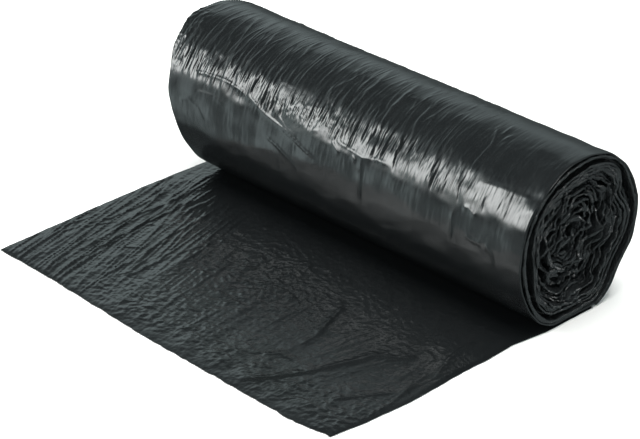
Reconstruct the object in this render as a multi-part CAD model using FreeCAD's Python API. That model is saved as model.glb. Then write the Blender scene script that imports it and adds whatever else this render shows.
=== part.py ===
import FreeCAD, Part

# A coreless roll of black bin bags, with its first bag pulled out flat in front of it.
#
# The bags are one continuous strip of folded film, so the strip is one solid. Seen from the end it is a
# true spiral: it starts at the leading edge, runs along the floor, passes under the roll and winds
# inwards to a collapsed middle. One modelled turn stands for a bunch of the much thinner real turns.
#
# Frame, in millimetres: the roll lies along X, the bag is pulled out towards -Y, and +Z is up. The
# origin is on the floor, in the middle of the object's footprint.

import math
import os
from typing import NamedTuple

Vector = FreeCAD.Vector

# The roll and the bag in front of it
FILM_WIDTH = 236.0
ROLL_RADIUS = 40.0
FLAT_HALF_WIDTH = 15.0
PULLED_OUT_LENGTH = 151.0
BAG_THICKNESS = 0.9

# The winding
TURN_PITCH = 2.6
TURN_GAP = 0.5
MIDDLE_RADIUS = 4.2
STEPS_PER_TURN = 48

# How the soft roll sags on both sides of its flat
SAG = 2.0
SAG_ANGLE = math.radians(30.0)
SAG_SPREAD = math.radians(25.0)
FLAT_EDGE_ROUNDING = 0.2

# The collapsed middle: an oval slit, with kinks nested around it as (count, depth, turned, drift)
SLIT_SQUASH = 18.4
SLIT_ANGLE = math.radians(62.0)
SLIT_POWER = 1.5
KINKS = ((5, 2.0, 0.6, 2.4), (9, 1.1, 2.1, -3.1), (12, 0.45, 4.0, 4.5))

# The slack on the front of the roll, between its outer band of turns and the rest
OUTER_BAND_TURNS = 2
SLACK = 2.2
SLACK_FROM = math.radians(105.0)
SLACK_TO = math.radians(250.0)

# The lean of the far end: how far its edge moves along X for each millimetre of height
FAR_LEAN = 0.22
UPRIGHT_HEIGHT = 44.0


class Band(NamedTuple):
    """A run of turns with their edges in line: its first turn, and how far the edges stand in."""

    first_turn: int
    near_inset: float
    far_inset: float


BANDS = (
    Band(first_turn=0, near_inset=0.0, far_inset=0.0),
    Band(first_turn=OUTER_BAND_TURNS, near_inset=3.0, far_inset=1.2),
    Band(first_turn=5, near_inset=4.4, far_inset=3.0),
    Band(first_turn=8, near_inset=6.6, far_inset=4.4),
    Band(first_turn=11, near_inset=5.4, far_inset=6.2),
)


class Row(NamedTuple):
    """A line across the bag in front: its share of the way to the roll, its ends, its creases."""

    way: float
    far_inset: float
    near_inset: float
    swell: float


JOIN_REACH = 5.0
ROWS = (
    Row(way=0.0, far_inset=4.0, near_inset=3.4, swell=0.8),
    Row(way=0.14, far_inset=3.2, near_inset=1.2, swell=1.1),
    Row(way=0.34, far_inset=1.6, near_inset=-0.4, swell=1.2),
    Row(way=0.60, far_inset=0.2, near_inset=1.2, swell=0.9),
    Row(way=0.84, far_inset=-0.4, near_inset=2.0, swell=0.5),
    Row(way=1.0, far_inset=0.0, near_inset=0.0, swell=0.0),
)


class Crease(NamedTuple):
    """A long crease of the bag: its shares of the width at the leading edge and at the roll."""

    front: float
    back: float
    height: float
    reach: float


CREASES = (
    Crease(front=0.022, back=0.010, height=0.8, reach=3.6),
    Crease(front=0.093, back=0.042, height=1.6, reach=5.2),
    Crease(front=0.144, back=0.084, height=1.9, reach=5.4),
    Crease(front=0.195, back=0.131, height=1.2, reach=5.8),
    Crease(front=0.301, back=0.190, height=1.4, reach=6.0),
    Crease(front=0.356, back=0.262, height=0.7, reach=7.0),
    Crease(front=0.445, back=0.364, height=1.3, reach=6.0),
    Crease(front=0.525, back=0.492, height=1.1, reach=6.0),
    Crease(front=0.619, back=0.559, height=0.6, reach=9.0),
    Crease(front=0.716, back=0.746, height=0.8, reach=7.0),
    Crease(front=0.780, back=0.843, height=1.0, reach=6.0),
    Crease(front=0.873, back=0.907, height=0.6, reach=7.0),
    Crease(front=0.966, back=0.955, height=1.2, reach=5.0),
)
CREASE_SPACING = 0.45

# How near to one plane a patch's four corners are when it is made as one face
FLATNESS = 1e-7


def sagging(from_down):
    """The soft roll's radius over ROLL_RADIUS, at an angle from straight down."""
    return 1 + SAG / ROLL_RADIUS * math.exp(-(((from_down - SAG_ANGLE) / SAG_SPREAD) ** 2))


# Places that follow from the sizes above
FLAT_EDGE_RADIUS = ROLL_RADIUS * sagging(math.asin(FLAT_HALF_WIDTH / ROLL_RADIUS))
AXIS_HEIGHT = math.sqrt(FLAT_EDGE_RADIUS**2 - FLAT_HALF_WIDTH**2)
FLAT_ANGLE = math.atan2(-AXIS_HEIGHT, FLAT_HALF_WIDTH)
AXIS_Y = (PULLED_OUT_LENGTH - ROLL_RADIUS) / 2
LEADING_Y = AXIS_Y - PULLED_OUT_LENGTH
JOIN_Y = AXIS_Y - FLAT_HALF_WIDTH - JOIN_REACH
FLAT_BACK_Y = AXIS_Y + FLAT_HALF_WIDTH
TOP_LEAN = FAR_LEAN * (AXIS_HEIGHT + ROLL_RADIUS - UPRIGHT_HEIGHT)
NEAR_X = (FILM_WIDTH + TOP_LEAN) / 2
FAR_X = NEAR_X - FILM_WIDTH
FIRST_PITCH = BAG_THICKNESS * ROLL_RADIUS / AXIS_HEIGHT + TURN_GAP
TURN_COUNT = int((ROLL_RADIUS - MIDDLE_RADIUS) / TURN_PITCH) + 1


def winding_depth(turns):
    """How far the film's outer face lies inside the roll's outline after that many turns."""
    eased = (1 - math.exp(-turns)) / (1 - math.exp(-1))
    return TURN_PITCH * turns - (TURN_PITCH - FIRST_PITCH) * eased


def outline_factor(angle):
    """The roll's outline over ROLL_RADIUS: round, sagging low down, and flat where it rests."""
    from_down = abs(math.remainder(angle + math.pi / 2, 2 * math.pi))
    rounded = sagging(from_down)
    if from_down > SAG_ANGLE + SAG_SPREAD:
        return rounded
    flat = AXIS_HEIGHT / ROLL_RADIUS / math.cos(from_down)
    rounding = FLAT_EDGE_ROUNDING / ROLL_RADIUS
    return (rounded + flat) / 2 - math.hypot((rounded - flat) / 2, rounding)


def collapse_factor(share, angle):
    """How far the collapsed middle pulls a turn in or out. At the roll's outline it is 1."""
    inside = 1 - share
    squash = SLIT_SQUASH * inside**SLIT_POWER * math.cos(2 * (angle - SLIT_ANGLE))
    kinks = (
        depth * inside * math.cos(count * angle + turned + drift * inside)
        for count, depth, turned, drift in KINKS
    )
    return 1 + (squash + sum(kinks)) / ROLL_RADIUS


def slack(turns, angle):
    """How far the turns behind the outer band hang away from it."""
    turned = (angle - SLACK_FROM) % (2 * math.pi)
    share = turned / (SLACK_TO - SLACK_FROM)
    behind_band = turns - turned / (2 * math.pi) > OUTER_BAND_TURNS
    return SLACK * math.sin(math.pi * share) ** 2 if behind_band and share < 1 else 0.0


def winding_point(turns, depth):
    """(y, z) in the winding, that many turns in and that deep inside the outline."""
    angle = FLAT_ANGLE + 2 * math.pi * turns
    share = 1 - depth / ROLL_RADIUS
    radius = ROLL_RADIUS * share * outline_factor(angle) * collapse_factor(share, angle)
    radius -= slack(turns, angle) * share
    return AXIS_Y + radius * math.cos(angle), AXIS_HEIGHT + radius * math.sin(angle)


def band_at(turns):
    """The band of turns that holds this place of the winding."""
    return [band for band in BANDS if band.first_turn <= turns][-1]


def far_edge_x(inset, height):
    """x of the film's far edge at a height of the leaning far end."""
    return FAR_X + inset - FAR_LEAN * (height - UPRIGHT_HEIGHT)


def film_corners(turns):
    """The film's four corners at one place of the winding: outer and inner face, near and far end."""
    band = band_at(turns)
    outer = winding_point(turns, winding_depth(turns))
    inner = winding_point(turns, winding_depth(turns + 1) - TURN_GAP)
    if turns == 0:
        outer, inner = (FLAT_BACK_Y, 0.0), (FLAT_BACK_Y, BAG_THICKNESS)
    corners = {}
    for face, (y, z) in (("outer", outer), ("inner", inner)):
        corners[face, "near"] = Vector(NEAR_X - band.near_inset, y, z)
        corners[face, "far"] = Vector(far_edge_x(band.far_inset, z), y, z)
    return corners


def polygon_face(*corners):
    """A flat face with these corners."""
    return Part.Face(Part.makePolygon([*corners, corners[0]]))


def patch(a, b, c, d):
    """The face or the two triangles with these corners, in order around it."""
    normal = (b - a).cross(c - a)
    if abs(normal.normalize().dot(d - a)) < FLATNESS:
        return [polygon_face(a, b, c, d)]
    return [polygon_face(a, b, c), polygon_face(a, c, d)]


def winding_faces():
    """The wound film's faces, from the back of the flat to its end in the collapsed middle."""
    places = [step / STEPS_PER_TURN for step in range(TURN_COUNT * STEPS_PER_TURN + 1)]
    columns = [film_corners(place) for place in places]
    around = (("outer", "near"), ("outer", "far"), ("inner", "far"), ("inner", "near"))
    faces = []
    for here, there in zip(columns, columns[1:]):
        for first, second in zip(around, (*around[1:], around[0])):
            faces += patch(here[first], here[second], there[second], there[first])
    faces.append(polygon_face(*(columns[-1][corner] for corner in around)))
    return faces


def row_points(row):
    """Points across the top of the bag along one row, with a foot, a ridge and a foot for each crease."""
    y = LEADING_Y + row.way * (JOIN_Y - LEADING_Y)
    far, near = FAR_X + row.far_inset, NEAR_X - row.near_inset
    ridges = [far + (near - far) * (c.front + (c.back - c.front) * row.way) for c in CREASES]
    points = [Vector(far, y, BAG_THICKNESS)]
    for i, (crease, ridge) in enumerate(zip(CREASES, ridges)):
        before = ridges[i - 1] if i else far
        after = ridges[i + 1] if i + 1 < len(ridges) else near
        reach = min(crease.reach, CREASE_SPACING * (ridge - before), CREASE_SPACING * (after - ridge))
        points.append(Vector(ridge - reach, y, BAG_THICKNESS))
        points.append(Vector(ridge, y, BAG_THICKNESS + crease.height * row.swell))
        points.append(Vector(ridge + reach, y, BAG_THICKNESS))
    points.append(Vector(near, y, BAG_THICKNESS))
    return points


def back_points():
    """The two top corners of the film at the back of the flat, where the winding takes over."""
    corners = film_corners(0)
    return [corners["inner", "far"], corners["inner", "near"]]


def bag_faces():
    """The faces of the bag on the floor, from its leading edge to the back of the roll's flat."""
    rows = [row_points(row) for row in ROWS]
    faces = []
    for row, next_row in zip(rows, rows[1:]):
        for i in range(len(row) - 1):
            faces += patch(row[i], row[i + 1], next_row[i + 1], next_row[i])
    faces.append(polygon_face(*rows[-1], *reversed(back_points())))
    corners = film_corners(0)
    far_top = [row[0] for row in rows] + [corners["inner", "far"]]
    near_top = [row[-1] for row in rows] + [corners["inner", "near"]]
    far_foot = [Vector(point.x, point.y, 0) for point in far_top[:-1]] + [corners["outer", "far"]]
    near_foot = [Vector(point.x, point.y, 0) for point in near_top[:-1]] + [corners["outer", "near"]]
    for top, foot in ((far_top, far_foot), (near_top, near_foot)):
        for i in range(len(top) - 1):
            faces += patch(top[i], top[i + 1], foot[i + 1], foot[i])
    faces.append(polygon_face(*rows[0], near_foot[0], far_foot[0]))
    faces.append(polygon_face(*far_foot, *reversed(near_foot)))
    return faces


def bag_roll():
    """The whole strip of bags as one solid."""
    shell = Part.makeShell(bag_faces() + winding_faces())
    shell.sewShape()
    solid = Part.Solid(shell)
    if solid.Volume < 0:
        solid.reverse()
    return solid


def main():
    """Writes the strip and prints what was made."""
    os.makedirs("parts", exist_ok=True)
    strip = bag_roll()
    box = strip.BoundBox
    print("turns", TURN_COUNT, "faces", len(strip.Faces), "valid", strip.isValid())
    print("x", round(box.XMin, 2), round(box.XMax, 2), "y", round(box.YMin, 2), round(box.YMax, 2))
    print("z", round(box.ZMin, 3), round(box.ZMax, 2), "volume in cm3", round(strip.Volume / 1000, 1))
    strip.exportStep("parts/bag_roll.step")


main()
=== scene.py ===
"""A coreless roll of black bin bags, its first bag pulled out flat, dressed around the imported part.

Lengths are in millimetres until a mesh is written, and angles on the roll are in degrees: 0 is the back
of the roll, 90 its top and 180 the front, where the bag is pulled out.
"""

import logging
import math
from dataclasses import dataclass
from enum import Enum

import bmesh
import bpy
import numpy as np
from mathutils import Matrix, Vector


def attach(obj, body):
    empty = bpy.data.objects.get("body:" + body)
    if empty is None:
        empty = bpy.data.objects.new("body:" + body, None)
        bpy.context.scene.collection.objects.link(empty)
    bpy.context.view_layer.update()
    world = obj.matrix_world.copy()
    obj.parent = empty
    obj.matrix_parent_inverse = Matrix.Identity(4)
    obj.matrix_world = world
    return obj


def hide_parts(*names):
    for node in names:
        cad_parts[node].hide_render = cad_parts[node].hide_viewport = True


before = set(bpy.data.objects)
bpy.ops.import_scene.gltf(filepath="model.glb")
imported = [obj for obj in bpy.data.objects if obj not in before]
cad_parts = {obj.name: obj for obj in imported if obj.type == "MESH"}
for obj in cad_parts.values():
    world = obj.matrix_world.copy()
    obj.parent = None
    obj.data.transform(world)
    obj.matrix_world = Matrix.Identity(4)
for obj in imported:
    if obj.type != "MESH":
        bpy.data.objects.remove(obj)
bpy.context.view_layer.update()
CAD_NODE = "bag_roll"
BODY = "root"
METRES = 0.001
# How many cells the random pattern behind the film's waves has each way before it repeats
LATTICE = 256
LOG = logging.getLogger("bin_bag_roll")


def linear(code: str) -> tuple[float, float, float, float]:
    """The linear colour of an sRGB hex value.

    Args:
        code: six hex digits after a hash sign.

    Returns:
        Red, green, blue and an alpha of 1.
    """
    parts = [int(code[i : i + 2], 16) / 255 for i in (1, 3, 5)]
    red, green, blue = (p / 12.92 if p <= 0.04045 else ((p + 0.055) / 1.055) ** 2.4 for p in parts)
    return red, green, blue, 1.0


def add_node(tree: bpy.types.NodeTree, kind: str, inputs: dict | None = None, **settings) -> bpy.types.Node:
    """Adds a node with its settings, and links or sets its inputs.

    Args:
        tree: the node tree that gets the node.
        kind: the node's type.
        inputs: a socket to link, or a value to set, for each input by its name or number.
        settings: the node's own properties.

    Returns:
        The new node.
    """
    node = tree.nodes.new(kind)
    for name, value in settings.items():
        setattr(node, name, value)
    for key, value in (inputs or {}).items():
        if isinstance(value, bpy.types.NodeSocket):
            tree.links.new(value, node.inputs[key])
        else:
            node.inputs[key].default_value = value
    return node


def smooth_step(low: float, high: float, value: np.ndarray) -> np.ndarray:
    """A smooth rise from 0 at low to 1 at high."""
    share = np.clip((value - low) / (high - low), 0.0, 1.0)
    return share * share * (3 - 2 * share)


def mix(low: float | np.ndarray, high: float | np.ndarray, share: np.ndarray) -> np.ndarray:
    """A value that goes from low at a share of 0 to high at a share of 1."""
    return low + (high - low) * share


def rumple(u: np.ndarray, v: np.ndarray, cell_u: float, cell_v: float, seed: int) -> np.ndarray:
    """Smooth random height over a film.

    Args:
        u: places along the first direction, in millimetres.
        v: places along the second direction, in millimetres.
        cell_u: how far apart the bumps are along u.
        cell_v: how far apart the bumps are along v.
        seed: which random pattern it is.

    Returns:
        Heights from about -1 to 1.
    """
    turned = np.random.default_rng(seed).uniform(0, 2 * np.pi, (LATTICE, LATTICE))
    slope_u, slope_v = np.cos(turned), np.sin(turned)
    cell_x, cell_y = np.floor(u / cell_u).astype(int), np.floor(v / cell_v).astype(int)
    in_x, in_y = u / cell_u - cell_x, v / cell_v - cell_y
    ease_x, ease_y = (t**3 * (t * (t * 6 - 15) + 10) for t in (in_x, in_y))

    def corner(step_x: int, step_y: int) -> np.ndarray:
        """The height that one corner of each cell gives."""
        at = (cell_x + step_x) % LATTICE, (cell_y + step_y) % LATTICE
        return slope_u[at] * (in_x - step_x) + slope_v[at] * (in_y - step_y)

    low = corner(0, 0) + ease_x * (corner(1, 0) - corner(0, 0))
    high = corner(0, 1) + ease_x * (corner(1, 1) - corner(0, 1))
    return 1.5 * (low + ease_y * (high - low))


@dataclass(frozen=True)
class Waves:
    """Random waves over a film: their height, how far apart they are across and along it, and their seed.

    The slant is how far they drift across the film for each millimetre along it, and the shift is how
    far the whole pattern is moved across it.
    """

    height: float
    across: float
    along: float
    seed: int
    slant: float = 0.0
    shift: float = 0.0

    def pattern(self, u: np.ndarray, v: np.ndarray) -> np.ndarray:
        """The waves at each place, from about -1 to 1."""
        return rumple(u + self.slant * v + self.shift, v, self.across, self.along, self.seed)

    def at(self, u: np.ndarray, v: np.ndarray) -> np.ndarray:
        """The waves at each place, in millimetres."""
        return self.height * self.pattern(u, v)


@dataclass(frozen=True)
class Ridges(Waves):
    """Thin sharp ridges that wander over a film between smooth stretches."""

    sharpness: float = 1.0

    def at(self, u: np.ndarray, v: np.ndarray) -> np.ndarray:
        """The ridges at each place, in millimetres."""
        return self.height * np.maximum(1 - np.abs(self.pattern(u, v)) * self.sharpness, 0)


@dataclass(frozen=True)
class Facets(Waves):
    """Waves whose troughs are folded up, so that soft facets meet in creases."""

    def at(self, u: np.ndarray, v: np.ndarray) -> np.ndarray:
        """The facets at each place, in millimetres."""
        return self.height * np.abs(self.pattern(u, v))


def layered(layers: tuple[Waves, ...], u: np.ndarray, v: np.ndarray) -> np.ndarray:
    """The height of several layers of waves together."""
    return sum(layer.at(u, v) for layer in layers)


@dataclass(frozen=True)
class Patch:
    """A patch of film with soft edges: how strong it is, and its middle and spread in both directions."""

    strength: float
    u: float
    u_spread: float
    v: float
    v_spread: float

    def at(self, u: np.ndarray, v: np.ndarray) -> np.ndarray:
        """How strong the patch is at each place."""
        away = ((u - self.u) / self.u_spread) ** 2 + ((v - self.v) / self.v_spread) ** 2
        return self.strength * np.exp(-away)


@dataclass(frozen=True)
class Wrinkle:
    """A wrinkle of the film, drawn through points on it.

    The points are (x, degrees round the roll) on the roll and (x, y) on the bag. A positive height is a
    ridge and a negative one is a groove. The first side's slope is width wide, the other far_width.
    """

    points: tuple[tuple[float, float], ...]
    height: float
    width: float
    far_width: float = 0.0
    end_taper: float = 6.0

    def height_at(self, u: np.ndarray, v: np.ndarray, line: np.ndarray) -> np.ndarray:
        """How much the wrinkle lifts each place of the film.

        Args:
            u: places along the first direction.
            v: places along the second direction.
            line: the wrinkle's points, one row each, in the units of u and v.

        Returns:
            The lift at each place, in millimetres.
        """
        nearest = np.full(u.shape, np.inf)
        side = np.zeros(u.shape)
        along = np.zeros(u.shape)
        start = 0.0
        for (u0, v0), (u1, v1) in zip(line, line[1:]):
            du, dv = u1 - u0, v1 - v0
            length = math.hypot(du, dv)
            share = np.clip(((u - u0) * du + (v - v0) * dv) / length**2, 0, 1)
            off = np.hypot(u - u0 - share * du, v - v0 - share * dv)
            closer = off < nearest
            nearest = np.where(closer, off, nearest)
            side = np.where(closer, np.sign((u - u0) * dv - (v - v0) * du), side)
            along = np.where(closer, start + share * length, along)
            start += length
        slope = np.where(side > 0, self.width, self.far_width or self.width)
        taper = smooth_step(0, self.end_taper, along) * smooth_step(0, self.end_taper, start - along)
        crest = np.exp(-np.sqrt((nearest / slope) ** 2 + 0.02) + math.sqrt(0.02))
        return self.height * crest * taper


class Side(Enum):
    """The two ends of the roll."""

    NEAR = 1
    FAR = -1


@dataclass(frozen=True)
class BlackFilm:
    """Black low-density polythene bin-bag film, extruded, blown and slit.

    The carbon black in it takes nearly all the light that enters, so what the eye gets is the gloss: soft
    reflections that break up wherever the film is wrinkled.
    """

    name: str
    colour: str = "#141617"
    gloss_low: float = 0.14
    gloss_high: float = 0.25
    patch_mm: float = 9.0
    refraction: float = 1.51

    def relief(self, tree: bpy.types.NodeTree) -> tuple[bpy.types.NodeSocket, float]:
        """The height of the wrinkles that are too fine for the mesh, and its full range in millimetres."""
        raise NotImplementedError

    def material(self) -> bpy.types.Material:
        """Builds the film's material.

        Returns:
            The material, with its gloss and fine wrinkles from nodes.
        """
        film = bpy.data.materials.new(self.name)
        film.use_nodes = True
        tree = film.node_tree
        tree.nodes.clear()
        place = add_node(tree, "ShaderNodeTexCoord")
        patches = add_node(
            tree,
            "ShaderNodeTexNoise",
            {"Vector": place.outputs["Object"], "Scale": 1 / (self.patch_mm * METRES), "Detail": 3.0},
        )
        gloss = add_node(
            tree,
            "ShaderNodeMapRange",
            {
                "Value": patches.outputs["Fac"],
                "From Min": 0.3,
                "From Max": 0.7,
                "To Min": self.gloss_low,
                "To Max": self.gloss_high,
            },
        )
        height, reach = self.relief(tree)
        bump = add_node(
            tree, "ShaderNodeBump", {"Height": height, "Distance": reach * METRES, "Strength": 1.0}
        )
        shader = add_node(
            tree,
            "ShaderNodeBsdfPrincipled",
            {
                "Base Color": linear(self.colour),
                "Roughness": gloss.outputs["Result"],
                "IOR": self.refraction,
                "Normal": bump.outputs["Normal"],
            },
        )
        add_node(tree, "ShaderNodeOutputMaterial", {"Surface": shader.outputs["BSDF"]})
        return film


@dataclass(frozen=True)
class WoundFilm(BlackFilm):
    """The film where it is wound tight: fine draw lines run round the roll, closer than the mesh can hold.

    Real ones are a few tenths of a millimetre apart. The render can't show that, so they are drawn coarser.
    They are weaker in front, below the place where the film grips the roll.
    """

    line_mm: float = 1.5
    line_length_mm: float = 34.0
    line_height_mm: float = 0.055
    sharp_mm: float = 2.2
    sharp_length_mm: float = 48.0
    sharp_share: float = 0.5
    sharp_width: float = 0.09
    sharp_slant: float = 5.0
    calm_from_mm: float = 101.0
    calm_to_mm: float = 109.0
    calm_share: float = 0.2

    def relief(self, tree: bpy.types.NodeTree) -> tuple[bpy.types.NodeSocket, float]:
        """Soft draw lines and thin sharp ones that follow the film's own map, which is in millimetres.

        Args:
            tree: the material's node tree.

        Returns:
            The height's socket, and its full range in millimetres.
        """
        film_map = add_node(tree, "ShaderNodeUVMap", uv_map="film")
        stretched = add_node(
            tree,
            "ShaderNodeMapping",
            {"Vector": film_map.outputs["UV"], "Scale": (1 / self.line_mm, 1 / self.line_length_mm, 1.0)},
        )
        lines = add_node(
            tree,
            "ShaderNodeTexNoise",
            {"Vector": stretched.outputs["Vector"], "Scale": 1.0, "Detail": 1.0, "Roughness": 0.5},
            noise_dimensions="2D",
        )
        slanted = add_node(
            tree,
            "ShaderNodeMapping",
            {
                "Vector": film_map.outputs["UV"],
                "Rotation": (0.0, 0.0, math.radians(self.sharp_slant)),
                "Scale": (1 / self.sharp_mm, 1 / self.sharp_length_mm, 1.0),
            },
        )
        sharp = add_node(
            tree,
            "ShaderNodeTexNoise",
            {"Vector": slanted.outputs["Vector"], "Scale": 1.0, "Detail": 1.0, "Roughness": 0.5},
            noise_dimensions="2D",
        )
        centred = add_node(tree, "ShaderNodeMath", {0: sharp.outputs["Fac"], 1: 0.5}, operation="SUBTRACT")
        either = add_node(tree, "ShaderNodeMath", {0: centred.outputs["Value"]}, operation="ABSOLUTE")
        ridges = add_node(
            tree,
            "ShaderNodeMapRange",
            {
                "Value": either.outputs["Value"],
                "From Min": self.sharp_width,
                "From Max": 0.0,
                "To Max": self.sharp_share,
            },
        )
        soft = add_node(
            tree, "ShaderNodeMath", {0: lines.outputs["Fac"], 1: 1 - self.sharp_share}, operation="MULTIPLY"
        )
        both = add_node(
            tree, "ShaderNodeMath", {0: soft.outputs["Value"], 1: ridges.outputs["Result"]}, operation="ADD"
        )
        apart = add_node(tree, "ShaderNodeSeparateXYZ", {"Vector": film_map.outputs["UV"]})
        calm = add_node(
            tree,
            "ShaderNodeMapRange",
            {
                "Value": apart.outputs["Y"],
                "From Min": self.calm_from_mm,
                "From Max": self.calm_to_mm,
                "To Min": 1.0,
                "To Max": self.calm_share,
            },
        )
        height = add_node(
            tree,
            "ShaderNodeMath",
            {0: both.outputs["Value"], 1: calm.outputs["Result"]},
            operation="MULTIPLY",
        )
        return height.outputs["Value"], self.line_height_mm


@dataclass(frozen=True)
class LooseFilm(BlackFilm):
    """The film where it is crumpled or laid out: small creases run every way.

    Its finest creases are too fine to show in the render, so they are drawn at the sizes given here.
    """

    crease_mm: float = 1.5
    crease_height_mm: float = 0.75

    def relief(self, tree: bpy.types.NodeTree) -> tuple[bpy.types.NodeSocket, float]:
        """Small creases in the film's place on the object.

        Args:
            tree: the material's node tree.

        Returns:
            The height's socket, and its full range in millimetres.
        """
        place = add_node(tree, "ShaderNodeTexCoord")
        creases = add_node(
            tree,
            "ShaderNodeTexNoise",
            {
                "Vector": place.outputs["Object"],
                "Scale": 1 / (self.crease_mm * METRES),
                "Detail": 1.0,
                "Roughness": 0.5,
                "Distortion": 0.4,
            },
        )
        return creases.outputs["Fac"], self.crease_height_mm


@dataclass(frozen=True)
class BenchPaper:
    """Matt white background paper under the roll: soft and even in colour, with no gloss, and a painted glow
    that brightens it away from the roll.
    """

    name: str = "matt_white_paper"
    colour: str = "#F4F4F3"
    roughness: float = 0.9
    lamps_reach: float = 0.7
    full_glow_from: float = 2.6
    painted_room_glow: float = 0.85

    def material(self) -> bpy.types.Material:
        """Builds the paper's material, with a painted glow: an emission, not a lamp, that rises softly
        beyond the lamps' reach.

        Returns:
            The material.
        """
        paper = bpy.data.materials.new(self.name)
        paper.use_nodes = True
        tree = paper.node_tree
        shader = tree.nodes["Principled BSDF"]
        shader.inputs["Base Color"].default_value = linear(self.colour)
        shader.inputs["Roughness"].default_value = self.roughness
        shader.inputs["Specular IOR Level"].default_value = 0.0
        # Painted light: the paper emits its own colour, more strongly away from the roll, standing in for
        # room light on the far bench
        shader.inputs["Emission Color"].default_value = linear(self.colour)
        place = add_node(tree, "ShaderNodeTexCoord")
        away = add_node(tree, "ShaderNodeVectorMath", {0: place.outputs["Object"]}, operation="LENGTH")
        reach = {"Value": away.outputs["Value"], "From Min": self.lamps_reach, "From Max": self.full_glow_from}
        lit = add_node(tree, "ShaderNodeMapRange", {**reach, "To Max": self.painted_room_glow})
        tree.links.new(lit.outputs["Result"], shader.inputs["Emission Strength"])
        return paper


@dataclass(frozen=True)
class RollForm:
    """The soft roll's outline and the places that follow from it."""

    film_width: float = 236.0
    radius: float = 40.0
    flat_half_width: float = 15.0
    pulled_out_length: float = 151.0
    bag_thickness: float = 0.9
    first_pitch: float = 1.42
    pitch: float = 2.6
    sag: float = 2.0
    sag_angle: float = 30.0
    sag_spread: float = 25.0
    flat_rounding: float = 0.2
    slit_squash: float = 18.4
    slit_angle: float = 62.0
    slit_power: float = 1.5
    far_lean: float = 0.22
    upright_height: float = 44.0
    crown: float = 2.4
    crown_angle: float = 62.0
    crown_spread: float = 55.0
    heel: float = 3.3
    heel_angle: float = -40.0
    heel_spread: float = 19.0

    def sagging(self, from_down: np.ndarray) -> np.ndarray:
        """The roll's radius over its nominal one, at degrees from straight down."""
        return 1 + self.sag / self.radius * np.exp(-(((from_down - self.sag_angle) / self.sag_spread) ** 2))

    @property
    def axis_height(self) -> float:
        """How high the roll's axis is over the floor."""
        edge = math.degrees(math.asin(self.flat_half_width / self.radius))
        return math.sqrt((self.radius * float(self.sagging(edge))) ** 2 - self.flat_half_width**2)

    @property
    def axis_y(self) -> float:
        """Where the roll's axis is."""
        return (self.pulled_out_length - self.radius) / 2

    @property
    def leading_y(self) -> float:
        """Where the pulled-out bag ends in front."""
        return self.axis_y - self.pulled_out_length

    @property
    def flat_angle(self) -> float:
        """Where on the roll the film leaves the floor at the back, in degrees."""
        return math.degrees(math.atan2(-self.axis_height, self.flat_half_width))

    @property
    def near_x(self) -> float:
        """Where the film's near edge is."""
        lean = self.far_lean * (self.axis_height + self.radius - self.upright_height)
        return (self.film_width + lean) / 2

    def far_x(self, height: np.ndarray) -> np.ndarray:
        """Where the film's far edge is, at a height of the leaning far end."""
        return self.near_x - self.film_width - self.far_lean * (height - self.upright_height)

    def outline(self, degrees: np.ndarray) -> np.ndarray:
        """The roll's outline: round, fuller on top, sagging low down, and flat where it rests.

        Args:
            degrees: angles round the roll.

        Returns:
            The outline's radius at each angle.
        """
        from_down = np.abs((degrees + 90 + 180) % 360 - 180)
        rounded = self.sagging(from_down)
        below = np.clip(from_down, 0, self.sag_angle + self.sag_spread)
        flat = self.axis_height / self.radius / np.cos(np.radians(below))
        soft = (rounded + flat) / 2 - np.hypot((rounded - flat) / 2, self.flat_rounding / self.radius)
        round_part = self.radius * np.where(from_down > self.sag_angle + self.sag_spread, rounded, soft)
        crown = self.crown * self.bump(degrees, self.crown_angle, self.crown_spread)
        return round_part + crown - self.heel * self.bump(degrees, self.heel_angle, self.heel_spread)

    @staticmethod
    def bump(degrees: np.ndarray, centre: float, spread: float) -> np.ndarray:
        """A smooth bump of height 1 round the roll."""
        return np.exp(-((((degrees - centre + 180) % 360 - 180) / spread) ** 2))

    def outer_depth(self, turns: np.ndarray) -> np.ndarray:
        """How far inside the outline the film is, in its first turns."""
        eased = (1 - np.exp(-turns)) / (1 - math.exp(-1))
        return self.pitch * turns - (self.pitch - self.first_pitch) * eased

    def place(
        self, degrees: np.ndarray, depth: np.ndarray, pull: np.ndarray
    ) -> tuple[np.ndarray, np.ndarray]:
        """A place in the winding.

        Args:
            degrees: the angle round the roll.
            depth: how far inside the outline the film is.
            pull: how far it is moved outwards from there.

        Returns:
            Its y and z.
        """
        share = 1 - depth / self.radius
        squash = self.slit_squash * np.maximum(1 - share, 0) ** self.slit_power
        factor = 1 + squash * np.cos(2 * np.radians(degrees - self.slit_angle)) / self.radius
        reach = self.outline(degrees) * share * factor + pull
        turned = np.radians(degrees)
        return self.axis_y + reach * np.cos(turned), self.axis_height + reach * np.sin(turned)


FORM = RollForm()


def finish_piece(piece: bpy.types.Object, film: bpy.types.Material) -> bpy.types.Object:
    """Turns a piece's faces outwards, smooths them and gives them their film.

    Args:
        piece: the piece, whose mesh is closed.
        film: its material.

    Returns:
        The same piece.
    """
    shell = bmesh.new()
    shell.from_mesh(piece.data)
    bmesh.ops.recalc_face_normals(shell, faces=shell.faces)
    shell.to_mesh(piece.data)
    shell.free()
    piece.data.materials.clear()
    piece.data.materials.append(film)
    piece.data.polygons.foreach_set("use_smooth", np.ones(len(piece.data.polygons), bool))
    return piece


def register(piece: bpy.types.Object) -> None:
    """Args:
        piece: the finished piece.
    """
    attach(piece, BODY)
    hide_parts(CAD_NODE)
    LOG.info("%s: %d faces, %s", piece.name, len(piece.data.polygons), piece.data.materials[0].name)


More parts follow.
